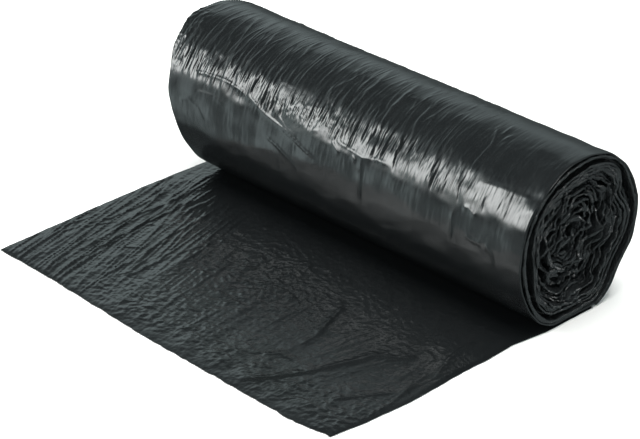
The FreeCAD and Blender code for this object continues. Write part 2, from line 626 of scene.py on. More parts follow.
def mesh_piece(name: str, points: np.ndarray, faces: list[tuple[int, ...]]) -> bpy.types.Object:
    """A new object with this mesh.

    Args:
        name: the piece's name.
        points: its corners in millimetres, one row each.
        faces: the numbers of each face's corners.

    Returns:
        The object, linked to the scene.
    """
    mesh = bpy.data.meshes.new(name)
    mesh.from_pydata((points * METRES).tolist(), [], faces)
    piece = bpy.data.objects.new(name, mesh)
    bpy.context.scene.collection.objects.link(piece)
    return piece


def map_film(piece: bpy.types.Object, across: np.ndarray, along: np.ndarray) -> None:
    """Gives a piece its map in millimetres of film.

    Args:
        piece: the piece.
        across: each corner's place across the strip.
        along: its place along the strip.
    """
    layer = piece.data.uv_layers.new(name="film")
    corners = np.zeros(len(piece.data.loops), int)
    piece.data.loops.foreach_get("vertex_index", corners)
    layer.data.foreach_set("uv", np.column_stack((across, along))[corners].ravel())


ROLL_WRINKLES = (
    # Long ridges over the top, drawn tight round the roll
    Wrinkle(((1, 117), (0, 111), (1, 102), (-2, 85), (-8, 62)), 0.30, 0.55, 1.6),
    Wrinkle(((19, 152), (19, 140), (20, 121), (20, 111), (19, 96), (17, 80)), 0.40, 0.6, 1.8),
    Wrinkle(((38, 122), (37, 110), (37, 98), (35, 87)), 0.25, 0.5, 1.4),
    Wrinkle(((-22, 109), (-22, 99), (-23, 87), (-27, 66)), 0.22, 0.5, 1.4),
    Wrinkle(((-2, 124), (-5, 108), (-5, 99)), 0.15, 0.4, 0.9),
    Wrinkle(((-102, 116), (-100, 113), (-101, 105), (-103, 94)), 0.28, 0.5, 1.2),
    Wrinkle(((-87, 110), (-92, 87), (-95, 72)), 0.22, 0.5, 1.5),
    Wrinkle(((-70, 112), (-74, 92), (-80, 70)), 0.26, 0.5, 1.5),
    Wrinkle(((-47, 108), (-50, 93), (-51, 79), (-56, 61)), 0.28, 0.5, 1.6),
    Wrinkle(((-120, 122), (-115, 116), (-113, 109)), 0.30, 0.6, 1.0),
    # The fork of curled ridges near the near end
    Wrinkle(((78, 144), (79, 130), (79, 124), (80, 111), (78, 104), (75, 97), (69, 91)), 0.35, 0.5, 1.1),
    Wrinkle(((78, 104), (79, 97), (78, 82)), 0.30, 0.5, 1.2),
    Wrinkle(((82, 108), (83, 99), (85, 91)), 0.25, 0.5, 1.0),
    # Deep grooves across the shine
    Wrinkle(((39, 155), (38, 148), (36, 139), (37, 126)), -0.45, 0.6, 1.2),
    Wrinkle(((63, 157), (63, 147), (62, 129)), -0.40, 0.5, 1.1),
    Wrinkle(((80, 157), (78, 144), (79, 130)), -0.45, 0.5, 1.3),
    Wrinkle(((19, 152), (19, 140), (20, 128)), -0.45, 0.5, 1.2),
    Wrinkle(((-60, 150), (-61, 140), (-60, 130)), -0.35, 0.5, 1.0),
    Wrinkle(((-34, 152), (-35, 141), (-33, 131)), -0.40, 0.6, 1.2),
    Wrinkle(((-18, 153), (-17, 143), (-18, 134)), -0.35, 0.5, 1.2),
    Wrinkle(((95, 156), (94, 147), (95, 138)), -0.20, 0.5, 1.2),
    # The bottom edge of the shine and what hangs below it
    Wrinkle(((-11, 143), (-2, 144)), -0.30, 0.5, 0.9, 3.0),
    Wrinkle(((-1, 150), (9, 152), (19, 154), (28, 151), (37, 151)), 0.35, 0.6, 1.3),
    Wrinkle(((-104, 149), (-96, 146), (-80, 144), (-69, 146), (-63, 148)), 0.36, 0.42, 0.8),
    Wrinkle(((-63, 147), (-48, 155), (-35, 159), (-23, 164), (-17, 167), (-9, 170)), 0.42, 0.45, 0.8),
    Wrinkle(((-48, 169), (-37, 173), (-26, 180), (-20, 186)), 0.36, 0.45, 0.8),
    Wrinkle(((-40, 152), (-33, 158), (-24, 160)), 0.18, 0.35, 0.6, 3.0),
    Wrinkle(((-96, 160), (-84, 158), (-76, 162)), 0.14, 0.35, 0.6, 3.0),
    Wrinkle(((-108, 172), (-101, 168), (-93, 172), (-88, 180)), 0.16, 0.35, 0.7, 3.0),
    Wrinkle(((19, 154), (19, 159), (20, 170), (21, 189)), 0.40, 0.6, 1.6),
    Wrinkle(((-2, 152), (5, 159)), 0.35, 0.5, 0.8, 2.0),
    Wrinkle(((12, 155), (16, 160)), 0.35, 0.5, 0.8, 2.0),
    Wrinkle(((83, 156), (87, 155), (93, 159)), 0.40, 0.6, 1.0, 2.0),
    Wrinkle(((80, 159), (79, 164), (80, 184)), 0.35, 0.6, 1.4),
    Wrinkle(((87, 173), (92, 175), (99, 174)), 0.30, 0.5, 1.0, 3.0),
    Wrinkle(((100, 173), (105, 178), (107, 186)), 0.30, 0.5, 1.0, 3.0),
    Wrinkle(((84, 137), (96, 135), (108, 134), (119, 133)), 0.14, 0.7, 1.6),
)


@dataclass(frozen=True)
class OuterTurn:
    """The film's outermost turn, the whole width of the roll, with its wrinkles and its rolled rims.

    A pair of numbers, in degrees round the roll or in millimetres along it, says where something starts
    and where it is full.
    """

    name: str = "outer_turn"
    rows: int = 545
    columns: int = 160
    front_from: float = 96.0
    front_to: float = 184.0
    front_share: float = 0.54
    wall: float = 0.75
    hidden_wall: float = 0.9
    rim_steps: int = 3
    inner_rows: int = 9
    rim_reach: float = 5.0
    floor_gap: float = 0.02
    foot: tuple[float, float] = (1.5, 9.0)
    near_edge: Waves = Waves(0.5, 16, 9, 31)
    far_edge: Waves = Waves(1.1, 14, 9, 32)
    far_bulge: float = 3.0
    far_bulge_angle: float = 128.0
    far_bulge_spread: float = 30.0
    # Broad swells and small dimples, which fade below the shine
    swells: tuple[Waves, ...] = (Waves(0.30, 34, 60, 11), Waves(0.16, 11, 40, 12), Waves(0.26, 15, 8, 19))
    dimples: Waves = Waves(0.05, 2.6, 3.4, 20)
    low_dimples: float = 0.3
    # Long lines drawn tight round the roll
    lines: tuple[Waves, ...] = (
        Ridges(0.17, 11, 80, 16, slant=0.05, sharpness=24.0),
        Ridges(0.136, 7.0, 45, 18, slant=-0.10, sharpness=18.0),
    )
    near_lines: float = 0.40
    far_lines: float = 1.15
    low_lines: float = 0.15
    # Close wrinkles where the film grips the roll, most of them towards the far end
    wrinkles: tuple[Waves, ...] = (
        Waves(0.26, 4.2, 26, 13, slant=0.10),
        Waves(0.24, 2.1, 20, 14, slant=-0.08),
        Waves(0.10, 1.2, 14, 15, slant=0.05),
        Ridges(-0.16, 2.9, 24, 35, slant=0.12, sharpness=3.5),
    )
    grip_starts: tuple[float, float] = (104.0, 131.0)
    grip_ends: tuple[float, float] = (146.0, 155.0)
    calm_near: tuple[float, float] = (35.0, 90.0)
    near_kept: float = 0.26
    far_kept: float = 0.04
    top_rough: float = 0.09
    low_rough: float = 0.018
    near_rough: float = 0.26
    far_rough: float = 1.21
    even_share: float = 0.96
    uneven: Waves = Waves(0.9, 22, 11, 17)
    # Crumpled patches in the middle of the shine and at the far rim
    patches: tuple[Patch, ...] = (Patch(0.42, -24, 30, 143, 9), Patch(0.714, -121, 9, 120, 24))
    broad_crumple: Facets = Facets(1.0, 4.6, 4.0, 33)
    fine_crumple: Facets = Facets(0.6, 2.0, 1.9, 34)
    crumple_slant: float = 0.5
    # Out of round: a dent along the shine and a sag below it in the middle of the roll, a hollow towards
    # its far end, a shoulder at the far rim and waves at the near one
    middle_x: float = 18.0
    middle_spread: float = 50.0
    dent: float = 0.80
    dent_angle: float = 137.0
    dent_spread: float = 15.0
    low_sag: float = 0.9
    low_sag_starts: tuple[float, float] = (155.0, 168.0)
    low_ends: tuple[float, float] = (172.0, 215.0)
    hollow: float = 1.3
    hollow_x: float = -52.0
    hollow_spread: float = 36.0
    hollow_starts: tuple[float, float] = (124.0, 158.0)
    shoulder: float = 1.4
    shoulder_angle: float = 110.0
    shoulder_spread: float = 20.0
    shoulder_ends: tuple[float, float] = (-118.0, -84.0)
    rim_waves: Waves = Waves(0.30, 10, 30, 36)
    rim_starts: tuple[float, float] = (108.0, 121.0)

    def roughness(self, x: np.ndarray, degrees: np.ndarray, arc: np.ndarray) -> np.ndarray:
        """How strongly the close wrinkles show.

        Args:
            x: places along the roll.
            degrees: angles round it.
            arc: the same angles as lengths of film.

        Returns:
            The share of the wrinkles' height at each place.
        """
        below = smooth_step(*self.grip_ends, degrees)
        far = 1 - smooth_step(*self.calm_near, x)
        kept = mix(self.near_kept, self.far_kept, far)
        gripped = smooth_step(*self.grip_starts, degrees) * mix(1.0, kept, below)
        rough = mix(self.top_rough, self.low_rough, below) + (1 - self.top_rough) * gripped
        return rough * mix(self.near_rough, self.far_rough, far) * (self.even_share + self.uneven.at(x, arc))

    def pressed(self, x: np.ndarray, degrees: np.ndarray) -> np.ndarray:
        """How far the soft roll is pressed out of round.

        Args:
            x: places along the roll.
            degrees: angles round it.

        Returns:
            How far it stands out, or in where that is negative, in millimetres.
        """
        middle = np.exp(-(((x - self.middle_x) / self.middle_spread) ** 2))
        above_floor = 1 - smooth_step(*self.low_ends, degrees)
        sag = self.low_sag * smooth_step(*self.low_sag_starts, degrees) * above_floor
        dent = self.dent * FORM.bump(degrees, self.dent_angle, self.dent_spread)
        towards_far = np.exp(-(((x - self.hollow_x) / self.hollow_spread) ** 2))
        hollow = self.hollow * towards_far * smooth_step(*self.hollow_starts, degrees) * above_floor
        at_far_rim = 1 - smooth_step(*self.shoulder_ends, x)
        shoulder = self.shoulder * FORM.bump(degrees, self.shoulder_angle, self.shoulder_spread) * at_far_rim
        return shoulder - hollow - middle * (sag + dent)

    def relief(self, x: np.ndarray, degrees: np.ndarray, height: np.ndarray) -> np.ndarray:
        """How far the film stands out from the smooth roll.

        Args:
            x: places along the roll.
            degrees: angles round it.
            height: heights over the floor.

        Returns:
            The relief at each place, in millimetres.
        """
        arc = np.radians(degrees) * FORM.radius
        below = smooth_step(*self.grip_ends, degrees)
        far = 1 - smooth_step(*self.calm_near, x)
        total = layered(self.swells, x, arc) + self.dimples.at(x, arc) * mix(1.0, self.low_dimples, below)
        total = total + layered(self.wrinkles, x, arc) * self.roughness(x, degrees, arc)
        tight = mix(self.near_lines, self.far_lines, far) * mix(1.0, self.low_lines, below)
        total = total + layered(self.lines, x, arc) * tight
        crumple = self.broad_crumple.at(x, arc + self.crumple_slant * x) + self.fine_crumple.at(x, arc)
        total = total + sum(patch.at(x, degrees) for patch in self.patches) * crumple
        total = total + self.pressed(x, degrees)
        total = total + self.rim_waves.at(arc, x) * smooth_step(*self.rim_starts, x)
        for wrinkle in ROLL_WRINKLES:
            line = np.array([(u, math.radians(v) * FORM.radius) for u, v in wrinkle.points])
            total = total + wrinkle.height_at(x, arc, line)
        return total * smooth_step(*self.foot, height)

    def column_angles(self) -> np.ndarray:
        """The angles of the columns, closer together in front, where wrinkles run both ways.

        Returns:
            The angles in degrees, once round from where the film leaves the floor at the back.
        """
        before = self.front_from - FORM.flat_angle
        after = FORM.flat_angle + 360 - self.front_to
        behind = (self.columns - 1) * (1 - self.front_share)
        counts = round(behind * before / (before + after)), round(behind * after / (before + after))
        back = np.linspace(FORM.flat_angle, self.front_from, counts[0], endpoint=False)
        front = np.linspace(self.front_from, self.front_to, self.columns - sum(counts), endpoint=False)
        return np.concatenate((back, front, np.linspace(self.front_to, FORM.flat_angle + 360, counts[1])))

    def build(self, film: bpy.types.Material) -> bpy.types.Object:
        """Builds the turn as one closed wall of film.

        Args:
            film: its material.

        Returns:
            The finished piece.
        """
        degrees = self.column_angles()
        depth = FORM.outer_depth((degrees - FORM.flat_angle) / 360)
        across, lift = self.section()
        share, turned = np.meshgrid(across, degrees, indexing="ij")
        y, z = FORM.place(turned, np.broadcast_to(depth, turned.shape), np.zeros_like(turned))
        arc = np.radians(turned) * FORM.radius
        near = FORM.near_x + self.near_edge.at(arc, arc * 0)
        far = FORM.far_x(z) + self.far_edge.at(arc, arc * 0)
        far = far - self.far_bulge * FORM.bump(turned, self.far_bulge_angle, self.far_bulge_spread)
        x = mix(far, near, share)
        out = lift[:, None] + self.relief(x, turned, z)
        y = y + out * np.cos(np.radians(turned))
        z = np.maximum(z + out * np.sin(np.radians(turned)), self.floor_gap)
        points = np.stack((x, y, z), axis=-1).reshape(-1, 3)
        piece = mesh_piece(self.name, points, self.faces(len(across)))
        map_film(piece, x.ravel(), arc.ravel())
        return finish_piece(piece, film)

    def section(self) -> tuple[np.ndarray, np.ndarray]:
        """The film's section across the roll, as a closed loop.

        Returns:
            The share of the width and the height over the outer face, at each point of the loop.
        """
        width, half = FORM.film_width, self.wall / 2
        outer = np.linspace(half / width, 1 - half / width, self.rows)
        bend = np.radians(np.linspace(90, -90, self.rim_steps + 2)[1:-1])
        near_rim = 1 - half / width + half / width * np.cos(bend), half * np.sin(bend) - half
        rim = self.rim_reach / width
        inner = np.concatenate(
            ([1 - half / width], np.linspace(1 - rim, rim, self.inner_rows), [half / width])
        )
        deep = np.full(len(inner), -self.hidden_wall)
        far_rim = half / width - half / width * np.cos(bend), -half * np.sin(bend) - half
        across = np.concatenate((outer, near_rim[0], inner, far_rim[0]))
        lift = np.concatenate((np.zeros(self.rows), near_rim[1], deep, far_rim[1]))
        return across, lift

    def faces(self, around: int) -> list[tuple[int, ...]]:
        """The faces of a loop of points swept through the columns, with both ends closed.

        Args:
            around: how many points the loop has.

        Returns:
            The numbers of each face's corners.
        """
        columns = self.columns
        faces = []
        for i in range(around):
            here, there = i * columns, (i + 1) % around * columns
            faces += [(here + j, there + j, there + j + 1, here + j + 1) for j in range(columns - 1)]
        faces.append(tuple(i * columns for i in range(around)))
        faces.append(tuple(i * columns + columns - 1 for i in reversed(range(around))))
        return faces


@dataclass(frozen=True)
class Fold:
    """A place where some turns are pushed in or out together.

    It is centred at an angle and a depth. The pull reaches as far as before and after, in degrees.
    """

    degrees: float
    before: float
    after: float
    depth: float
    spread: float
    pull: float

    def pull_at(self, degrees: np.ndarray, depth: np.ndarray) -> np.ndarray:
        """How far the fold moves the film outwards.

        Args:
            degrees: angles round the roll.
            depth: how far inside the outline the film is.

        Returns:
            The pull at each place of the winding, in millimetres.
        """
        away = (degrees - self.degrees + 180) % 360 - 180
        reach = np.where(away < 0, self.before, self.after)
        return self.pull * np.exp(-((away / reach) ** 2) - ((depth - self.depth) / self.spread) ** 2)


FOLDS = (
    Fold(degrees=96, before=24, after=26, depth=9.0, spread=7.0, pull=-3.2),
    Fold(degrees=26, before=15, after=7, depth=7.2, spread=4.0, pull=-3.9),
    Fold(degrees=47, before=12, after=14, depth=6.5, spread=4.0, pull=1.5),
    Fold(degrees=3, before=16, after=10, depth=6.5, spread=4.0, pull=1.2),
    Fold(degrees=195, before=26, after=28, depth=8.5, spread=6.5, pull=-2.6),
    Fold(degrees=268, before=30, after=26, depth=23.0, spread=6.0, pull=-3.5),
    Fold(degrees=330, before=14, after=18, depth=14.0, spread=7.0, pull=-3.0),
    Fold(degrees=338, before=70, after=40, depth=5.8, spread=3.5, pull=2.6),
    Fold(degrees=178, before=50, after=50, depth=7.0, spread=4.0, pull=-2.4),
    Fold(degrees=142, before=10, after=12, depth=17.0, spread=6.0, pull=-3.4),
)


@dataclass(frozen=True)
class WoundTurns:
    """Every turn inside the outermost one, wound by one Geometry Nodes tree along a true spiral."""

    name: str = "wound_turns"
    last_depth: float = 36.4
    inner_pitch: float = 1.5
    outer_turns: float = 2.0
    step: float = 1.2
    wall: float = 0.34
    first_wall: float = 1.15
    bundle_wall: float = 1.40
    middle_wall: float = 1.28
    gap_width: float = 0.9
    near_inset: float = 0.4
    far_inset: float = 0.6
    gap_inset: float = 8.0
    bundle_near_inset: float = 1.7
    bundle_far_inset: float = 1.6
    middle_near_inset: float = 6.5
    middle_far_inset: float = 6.5
    crumple: float = 10.0
    crumple_size: float = 9.0
    seed: int = 7
    path_points: int = 24000
    path_values: tuple[str, ...] = ("near_edge", "far_edge", "looseness", "wall", "spine_y", "spine_z")

    def turn_count(self) -> float:
        """How many turns the film makes."""
        start = float(FORM.outer_depth(np.array(self.outer_turns)))
        return self.outer_turns + (self.last_depth - self.gap_width - start) / self.inner_pitch

    def depth_at(self, turns: np.ndarray) -> np.ndarray:
        """How deep inside the outline the film is.

        Args:
            turns: how many turns in the film is.

        Returns:
            The depth at each place, in millimetres.
        """
        start = float(FORM.outer_depth(np.array(self.outer_turns)))
        inside = start + self.inner_pitch * (turns - self.outer_turns)
        inside = inside + self.gap_width * smooth_step(2.0, 3.1, turns)
        return np.where(turns < self.outer_turns, FORM.outer_depth(turns), inside)

    def inset_at(self, turns: np.ndarray, arc: np.ndarray, side: Side) -> np.ndarray:
        """How far the film's edge stands in from the end of the roll.

        Args:
            turns: how many turns in the film is.
            arc: its length along the strip, in millimetres.
            side: which end of the roll.

        Returns:
            The inset at each place, in millimetres.
        """
        near = side is Side.NEAR
        first = self.near_inset if near else self.far_inset
        bundle = self.bundle_near_inset if near else self.bundle_far_inset
        middle = self.middle_near_inset if near else self.middle_far_inset
        shape = first + (bundle - first) * smooth_step(1.9, 2.15, turns)
        degrees = FORM.flat_angle + 360 * turns
        open_here = 0.22 + 0.78 * FORM.bump(degrees, 165, 95)
        gap = smooth_step(1.98, 2.12, turns) * (1 - smooth_step(2.85, 3.05, turns))
        shape = shape + self.gap_inset * open_here * gap
        shape = shape + (middle - bundle) * smooth_step(4.5, 10.0, turns)
        loose = smooth_step(4.0, 7.0, turns)
        seed = 40 if near else 50
        ripple = 0.35 * rumple(arc, turns, 18, 1, seed) + loose * 4.6 * rumple(arc, turns, 15, 0.8, seed + 1)
        ripple = ripple + (0.30 + 0.9 * loose) * rumple(arc, turns, 3.4, 0.5, seed + 2)
        ripple = ripple + 0.55 * rumple(arc, turns, 2.5, 0.3, seed + 3) * smooth_step(2.9, 3.3, turns)
        return np.maximum(shape + ripple, 0.1)

    def wall_at(self, turns: np.ndarray, arc: np.ndarray) -> np.ndarray:
        """How thick each turn is: its plies stand apart where the winding is loose.

        Args:
            turns: how many turns in the film is.
            arc: its length along the strip, in millimetres.

        Returns:
            The wall at each place, in millimetres.
        """
        shape = self.first_wall * (1 + 0.8 * smooth_step(1.0, 1.9, turns))
        shape = shape + (self.bundle_wall - shape) * smooth_step(2.0, 3.0, turns)
        shape = shape + (self.middle_wall - self.bundle_wall) * smooth_step(4.2, 6.5, turns)
        return shape * (1 + 0.45 * rumple(arc, turns, 7, 0.7, 60) + 0.30 * rumple(arc, turns, 2.6, 0.3, 61))

    def path(self) -> bpy.types.Object:
        """The strip's path into the roll.

        Returns:
            A line of edges in the plane x = 0 that carries the film's near and far edges and its looseness.
        """
        fine = np.linspace(1.0, self.turn_count(), self.path_points)
        degrees = FORM.flat_angle + 360 * fine
        depth = self.depth_at(fine)
        arc_guess = np.radians(degrees) * 8.0
        inside = smooth_step(9.0, 24.0, depth)
        pull = sum(fold.pull_at(degrees, depth) for fold in FOLDS)
        pull = pull + inside * 1.7 * rumple(degrees / 26, depth / 5.5, 1, 1, 21)
        pull = pull + inside * 0.8 * rumple(degrees / 11, depth / 3.5, 1, 1, 22)
        pull = pull + 0.25 * rumple(arc_guess, depth, 6, 2, 23) * smooth_step(2.0, 5.0, depth)
        y, z = FORM.place(degrees, depth, pull)
        z = np.maximum(z, FORM.bag_thickness + 0.7 + 0.55 * (depth - 1.4))
        length = np.concatenate(([0], np.cumsum(np.hypot(np.diff(y), np.diff(z)))))
        LOG.info("%s: the strip is %.0f mm long", self.name, length[-1])
        at = np.arange(0, length[-1], self.step)
        y, z, turns = (np.interp(at, length, value) for value in (y, z, fine))
        mesh = bpy.data.meshes.new("strip_path")
        points = np.column_stack((np.zeros_like(y), y, z)) * METRES
        mesh.from_pydata(points.tolist(), [(i, i + 1) for i in range(len(at) - 1)], [])
        near = FORM.near_x - self.inset_at(turns, at, Side.NEAR)
        far = FORM.far_x(z) + self.inset_at(turns, at, Side.FAR)
        loose = smooth_step(6.0, 13.0, self.depth_at(turns))
        held = {
            "near_edge": near * METRES,
            "far_edge": far * METRES,
            "looseness": loose,
            "wall": self.wall_at(turns, at) / self.wall,
            "spine_y": y * METRES,
            "spine_z": z * METRES,
        }
        for name, values in held.items():
            mesh.attributes.new(name, "FLOAT", "POINT").data.foreach_set("value", values.astype(np.float32))
        path = bpy.data.objects.new("strip_path", mesh)
        bpy.context.scene.collection.objects.link(path)
        return path

    def section(self) -> bpy.types.Object:
        """The film's section: x is the share of its width from far to near, and y its wall.

        Returns:
            A closed loop of edges.
        """
        edge_steps = np.array([0.0, 0.1, 0.35, 0.9, 2.4, 4.5, 7.5, 12.0, 24.0]) / FORM.film_width
        half = self.wall / 2 * METRES
        share = np.concatenate((edge_steps, 1 - edge_steps[::-1]))
        thick = np.full(len(share), half)
        for step, part in enumerate((0.36, 0.72, 0.94)):
            thick[[step, -1 - step]] = half * part
        upper = [(x, t, 0.0) for x, t in zip(share, thick)]
        lower = [(x, -t, 0.0) for x, t in zip(share[::-1], thick)]
        loop = lower + upper
        mesh = bpy.data.meshes.new("strip_section")
        mesh.from_pydata(loop, [(i, (i + 1) % len(loop)) for i in range(len(loop))], [])
        section = bpy.data.objects.new("strip_section", mesh)
        bpy.context.scene.collection.objects.link(section)
        return section

    def tree(self) -> bpy.types.NodeTree:
        """The Geometry Nodes tree that winds a strip of film along its path.

        Returns:
            The tree. Its inputs are the strip's section, its crumple and the film's material.
        """
        tree = bpy.data.node_groups.new("wind_film", "GeometryNodeTree")
        sockets = tree.interface
        sockets.new_socket("Geometry", in_out="INPUT", socket_type="NodeSocketGeometry")
        sockets.new_socket("Geometry", in_out="OUTPUT", socket_type="NodeSocketGeometry")
        sockets.new_socket("Section", in_out="INPUT", socket_type="NodeSocketObject")
        sockets.new_socket("Film", in_out="INPUT", socket_type="NodeSocketMaterial")
        for name in ("Crumple", "Crumple Size"):
            sockets.new_socket(name, in_out="INPUT", socket_type="NodeSocketFloat")
        sockets.new_socket("Seed", in_out="INPUT", socket_type="NodeSocketFloat")
        given = add_node(tree, "NodeGroupInput")
        spine = add_node(tree, "GeometryNodeMeshToCurve", {"Mesh": given.outputs["Geometry"]})
        upright = add_node(
            tree,
            "GeometryNodeSetCurveNormal",
            {"Curve": spine.outputs["Curve"], "Normal": (1.0, 0.0, 0.0)},
            mode="FREE",
        )
        outline = add_node(tree, "GeometryNodeObjectInfo", {"Object": given.outputs["Section"]})
        loop = add_node(tree, "GeometryNodeMeshToCurve", {"Mesh": outline.outputs["Geometry"]})
        wall = add_node(
            tree,
            "GeometryNodeCurveToMesh",
            {"Curve": upright.outputs["Curve"], "Profile Curve": loop.outputs["Curve"], "Fill Caps": True},
        )
        near, far, loose, thick, spine_y, spine_z = (
            add_node(tree, "GeometryNodeInputNamedAttribute", {"Name": name}, data_type="FLOAT")
            for name in self.path_values
        )
        here = add_node(tree, "GeometryNodeInputPosition")
        apart = add_node(tree, "ShaderNodeSeparateXYZ", {"Vector": here.outputs["Position"]})
        across = add_node(
            tree,
            "ShaderNodeMapRange",
            {
                "Value": apart.outputs["X"],
                "To Min": far.outputs["Attribute"],
                "To Max": near.outputs["Attribute"],
            },
        )
        puffed = [
            add_node(
                tree,
                "ShaderNodeMapRange",
                {
                    "Value": thick.outputs["Attribute"],
                    "To Min": middle.outputs["Attribute"],
                    "To Max": apart.outputs[axis],
                },
                clamp=False,
            ).outputs["Result"]
            for middle, axis in ((spine_y, "Y"), (spine_z, "Z"))
        ]
        spread = add_node(
            tree, "ShaderNodeCombineXYZ", {"X": across.outputs["Result"], "Y": puffed[0], "Z": puffed[1]}
        )
        widened = add_node(
            tree,
            "GeometryNodeSetPosition",
            {"Geometry": wall.outputs["Mesh"], "Position": spread.outputs["Vector"]},
        )
        moved = add_node(tree, "GeometryNodeInputPosition")
        per_metre = add_node(
            tree, "ShaderNodeMath", {0: 1.0, 1: given.outputs["Crumple Size"]}, operation="DIVIDE"
        )
        noise = add_node(
            tree,
            "ShaderNodeTexNoise",
            {
                "Vector": moved.outputs["Position"],
                "W": given.outputs["Seed"],
                "Scale": per_metre.outputs["Value"],
                "Detail": 3.0,
                "Roughness": 0.5,
            },
            noise_dimensions="4D",
        )
        centred = add_node(
            tree,
            "ShaderNodeVectorMath",
            {0: noise.outputs["Color"], 1: (0.5, 0.5, 0.5)},
            operation="SUBTRACT",
        )
        amount = add_node(
            tree,
            "ShaderNodeMath",
            {0: given.outputs["Crumple"], 1: loose.outputs["Attribute"]},
            operation="MULTIPLY",
        )
        offset = add_node(
            tree,
            "ShaderNodeVectorMath",
            {0: centred.outputs["Vector"], "Scale": amount.outputs["Value"]},
            operation="SCALE",
        )
        crumpled = add_node(
            tree,
            "GeometryNodeSetPosition",
            {"Geometry": widened.outputs["Geometry"], "Offset": offset.outputs["Vector"]},
        )
        smooth = add_node(tree, "GeometryNodeSetShadeSmooth", {"Geometry": crumpled.outputs["Geometry"]})
        real = add_node(tree, "GeometryNodeRealizeInstances", {"Geometry": smooth.outputs["Geometry"]})
        coated = add_node(
            tree,
            "GeometryNodeSetMaterial",
            {"Geometry": real.outputs["Geometry"], "Material": given.outputs["Film"]},
        )
        add_node(tree, "NodeGroupOutput", {"Geometry": coated.outputs["Geometry"]})
        return tree

    def build(self, film: bpy.types.Material) -> bpy.types.Object:
        """Winds the strip and keeps it as a plain mesh.

        Args:
            film: its material.

        Returns:
            The finished piece.
        """
        path, section, tree = self.path(), self.section(), self.tree()
        winder = path.modifiers.new("wind_film", "NODES")
        winder.node_group = tree
        wanted = {
            "Section": section,
            "Film": film,
            "Crumple": self.crumple * METRES,
            "Crumple Size": self.crumple_size * METRES,
            "Seed": float(self.seed),
        }
        for item in tree.interface.items_tree:
            if item.in_out == "INPUT" and item.name in wanted:
                winder[item.identifier] = wanted[item.name]
        evaluated = path.evaluated_get(bpy.context.evaluated_depsgraph_get())
        mesh = bpy.data.meshes.new_from_object(evaluated)
        mesh.name = self.name
        path.modifiers.clear()
        piece = bpy.data.objects.new(self.name, mesh)
        bpy.context.scene.collection.objects.link(piece)
        for helper in (path, section):
            bpy.data.objects.remove(helper)
        for name in self.path_values:
            if name in mesh.attributes:
                mesh.attributes.remove(mesh.attributes[name])
        return finish_piece(piece, film)


BAG_CREASES = (
    # Long creases that fan out from the roll's far base
    Wrinkle(((-77, -91), (-82, -69), (-85, -51), (-89, -25), (-91, -6)), 0.50, 0.51, 1.76),
    Wrinkle(((-73, -90), (-76, -69), (-80, -46), (-82, -22), (-85, 2)), 0.43, 0.42, 1.44),
    Wrinkle(((-96, -78), (-103, -62), (-100, -43), (-96, -33)), 0.37, 0.42, 1.20),
    Wrinkle(((-99, -95), (-107, -64), (-105, -30)), 0.37, 0.42, 1.28),
    Wrinkle(((-91, -94), (-96, -71), (-100, -52), (-92, -36)), 0.43, 0.42, 1.44),
    Wrinkle(((-80, -95), (-83, -80), (-85, -64)), 0.31, 0.42, 0.96),
    Wrinkle(((-98, -43), (-98, -24), (-100, 0), (-105, 18)), 0.43, 0.42, 1.20),
    Wrinkle(((-88, -51), (-92, -25), (-90, -1), (-96, 14), (-102, 33)), 0.50, 0.51, 1.60),
    Wrinkle(((-77, -60), (-80, -43), (-82, -24), (-83, -1), (-86, 22)), 0.43, 0.42, 1.28),
    Wrinkle(
        ((-40, -88), (-47, -68), (-57, -48), (-63, -32), (-65, -19), (-67, -1), (-65, 13), (-54, 37)),
        0.37,
        0.42,
        1.28,
    ),
    Wrinkle(((-46, -67), (-48, -42), (-46, -27), (-42, -14), (-31, -5)), 0.31, 0.42, 1.12),
    Wrinkle(((-7, -91), (-15, -66), (-20, -42), (-23, -25)), 0.43, 0.51, 1.44),
    Wrinkle(((10, -92), (8, -74), (7, -53)), 0.31, 0.51, 1.20),
    # Short creases in the middle
    Wrinkle(((-42, 2), (-38, 13), (-33, 23)), 0.30, 0.4, 0.9),
    Wrinkle(((-13, -15), (-12, -3)), 0.30, 0.4, 0.9, 3.0),
    Wrinkle(((-73, -55), (-61, -44)), 0.35, 0.4, 1.0, 3.0),
    Wrinkle(((-74, -54), (-77, -41), (-80, -29), (-77, -24)), 0.40, 0.4, 1.0, 3.0),
    Wrinkle(((-4, -34), (2, -29), (11, -29)), 0.35, 0.5, 1.0, 3.0),
    Wrinkle(((10, -52), (19, -53), (23, -51)), 0.35, 0.5, 1.0, 3.0),
    Wrinkle(((18, -29), (27, -28)), 0.30, 0.5, 1.0, 3.0),
    Wrinkle(((39, -35), (38, -29)), 0.25, 0.4, 0.8, 2.0),
    # Broad soft creases towards the near edge
    Wrinkle(
        ((57, -96), (67, -82), (74, -68), (80, -53), (84, -43), (85, -36), (94, -31), (100, -23)),
        1.0,
        1.0,
        3.4,
    ),
    Wrinkle(((56, -55), (54, -40), (50, -31), (45, -19), (40, -11)), 0.6, 0.9, 2.4),
    Wrinkle(((50, -72), (54, -65), (66, -64)), 0.5, 0.8, 2.0, 4.0),
    Wrinkle(((54, -43), (49, -28), (44, -15)), 0.4, 0.7, 1.8, 4.0),
    Wrinkle(((57, -23), (65, -17)), 0.3, 0.6, 1.4, 3.0),
    Wrinkle(((98, -78), (105, -64), (115, -49)), 0.6, 0.8, 2.2),
    Wrinkle(((119, -75), (118, -59), (115, -45), (115, -38)), 0.8, 0.8, 2.0),
    Wrinkle(((106, 6), (109, -13), (117, -32)), 0.7, 1.0, 2.4),
)


@dataclass(frozen=True)
class BagRow:
    """A line across the pulled-out bag: its share of the way to the roll and how far its ends stand in."""

    way: float
    far_inset: float
    near_inset: float


